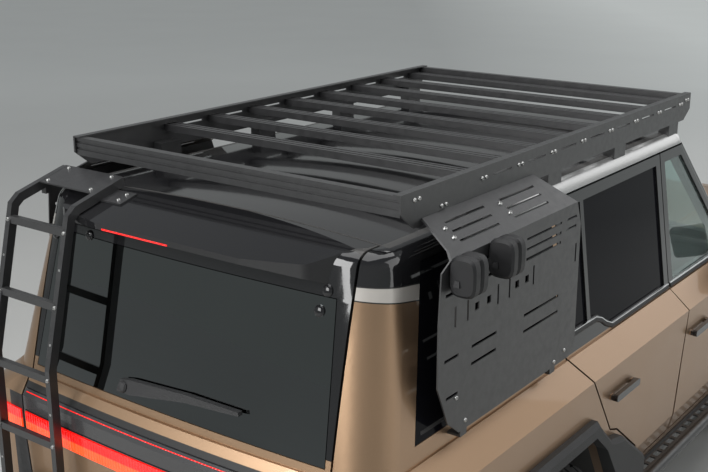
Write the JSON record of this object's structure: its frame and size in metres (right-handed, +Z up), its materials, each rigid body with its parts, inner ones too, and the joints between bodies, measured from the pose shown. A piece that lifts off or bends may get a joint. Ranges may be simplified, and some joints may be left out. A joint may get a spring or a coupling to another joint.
{
  "type": "lifted off-road estate car",
  "caption": "Boxy four-wheel-drive estate car, raised on large tyres, with a roof rack, tailgate ladder, slotted side panels, side steps and opening doors, bonnet and tailgate.",
  "frame": {"origin": "on the ground under the centre of the bounding box", "axes": "+Z up, -Y to the front, +X to the car's left"},
  "size_m": [2.215, 4.9998, 2.075],
  "materials": {
    "paint_bronze": "metallic clear coat, bronze",
    "paint_black": "gloss black clear coat",
    "powder_black": "satin powder coat",
    "trim_black": "grained black moulding",
    "glass_dark": "privacy tint",
    "glass_clear": "light green tint",
    "lamp_red": "red lens",
    "lamp_clear": "clear lens over a bright bowl",
    "tyre": "moulded rubber",
    "rim_black": "satin black cast wheel",
    "chassis": "black chassis wax",
    "cast": "bare casting",
    "steel": "dull steel",
    "rubber": "matt rubber",
    "seat": "dark leather",
    "dash": "soft moulding"
  },
  "bodies": {
    "body": {"floor_pan": "chassis", "wheel_housings": "chassis", "roof_frame": "trim_black", "body_side_left": "paint_bronze", "body_side_right": "paint_bronze", "tow_receiver": "chassis", "roof_panel": "paint_black", "front_fenders": "paint_bronze", "nose_panel": "paint_bronze", "grille": "trim_black", "headlamps": "lamp_clear", "tail_lamps": "lamp_red", "front_bumper": "trim_black", "rear_bumper": "trim_black", "windscreen": "glass_clear", "quarter_glass": "glass_dark", "arch_flares": "trim_black", "rock_sliders": "powder_black", "rack_rails": "powder_black", "rack_bars": "powder_black", "side_panels": "powder_black", "panel_clamps": "rubber", "frame_rails": "chassis", "crossmembers": "chassis", "front_suspension": "chassis", "rear_axle": "chassis", "engine_block": "cast", "driveline": "cast", "exhaust": "steel", "fuel_tank": "trim_black", "seats": "seat", "dashboard": "dash", "steering_wheel": "dash"},
    "hood_lid": {"hood": "paint_bronze"},
    "tail_door": {"tailgate": "paint_bronze", "tail_glass": "glass_dark", "light_bar": "lamp_red", "spoiler": "paint_black", "ladder": "powder_black", "rear_wiper": "trim_black"},
    "front_door_left_body": {"front_door_left": "paint_bronze", "front_pane_left": "glass_clear", "mirror_left": "paint_black"},
    "rear_door_left_body": {"rear_door_left": "paint_bronze", "rear_pane_left": "glass_dark"},
    "steering_knuckle_left": {"knuckle_left": "cast"},
    "wheel_front_left": {"tyre_front_left": "tyre", "rim_front_left": "rim_black"},
    "wheel_rear_left": {"tyre_rear_left": "tyre", "rim_rear_left": "rim_black"},
    "front_door_right_body": {"front_door_right": "paint_bronze", "front_pane_right": "glass_clear", "mirror_right": "paint_black"},
    "rear_door_right_body": {"rear_door_right": "paint_bronze", "rear_pane_right": "glass_dark"},
    "steering_knuckle_right": {"knuckle_right": "cast"},
    "wheel_front_right": {"tyre_front_right": "tyre", "rim_front_right": "rim_black"},
    "wheel_rear_right": {"tyre_rear_right": "tyre", "rim_rear_right": "rim_black"}
  },
  "joints": [
    {"name": "front_door_left_hinge", "type": "hinge", "parent": "body", "child": "front_door_left_body", "pos_m": [0.97, -0.877, 1], "axis": [0, 0, -1], "range_deg": [0, 68]},
    {"name": "rear_door_left_hinge", "type": "hinge", "parent": "body", "child": "rear_door_left_body", "pos_m": [0.97, 0.024, 1], "axis": [0, 0, -1], "range_deg": [0, 68]},
    {"name": "steer_left", "type": "hinge", "parent": "body", "child": "steering_knuckle_left", "pos_m": [0.765, -1.57, 0.428], "axis": [0, 0, 1], "range_deg": [-32, 32]},
    {"name": "wheel_front_left_spin", "type": "hinge", "parent": "steering_knuckle_left", "child": "wheel_front_left", "pos_m": [0.835, -1.57, 0.428], "axis": [1, 0, 0], "continuous": true},
    {"name": "wheel_rear_left_spin", "type": "hinge", "parent": "body", "child": "wheel_rear_left", "pos_m": [0.835, 1.28, 0.428], "axis": [1, 0, 0], "continuous": true},
    {"name": "front_door_right_hinge", "type": "hinge", "parent": "body", "child": "front_door_right_body", "pos_m": [-0.97, -0.877, 1], "axis": [0, 0, 1], "range_deg": [0, 68]},
    {"name": "rear_door_right_hinge", "type": "hinge", "parent": "body", "child": "rear_door_right_body", "pos_m": [-0.97, 0.024, 1], "axis": [0, 0, 1], "range_deg": [0, 68]},
    {"name": "steer_right", "type": "hinge", "parent": "body", "child": "steering_knuckle_right", "pos_m": [-0.765, -1.57, 0.428], "axis": [0, 0, 1], "range_deg": [-32, 32]},
    {"name": "wheel_front_right_spin", "type": "hinge", "parent": "steering_knuckle_right", "child": "wheel_front_right", "pos_m": [-0.835, -1.57, 0.428], "axis": [1, 0, 0], "continuous": true},
    {"name": "wheel_rear_right_spin", "type": "hinge", "parent": "body", "child": "wheel_rear_right", "pos_m": [-0.835, 1.28, 0.428], "axis": [1, 0, 0], "continuous": true},
    {"name": "hood_hinge", "type": "hinge", "parent": "body", "child": "hood_lid", "pos_m": [0, -1.07, 1.24], "axis": [-1, 0, 0], "range_deg": [0, 55]},
    {"name": "tailgate_hinge", "type": "hinge", "parent": "body", "child": "tail_door", "pos_m": [0, 2.082, 1.937], "axis": [1, 0, 0], "range_deg": [0, 80]}
  ],
  "couplings": [
    {"joint": "steer_right", "follows": "steer_left", "ratio": 1}
  ]
}
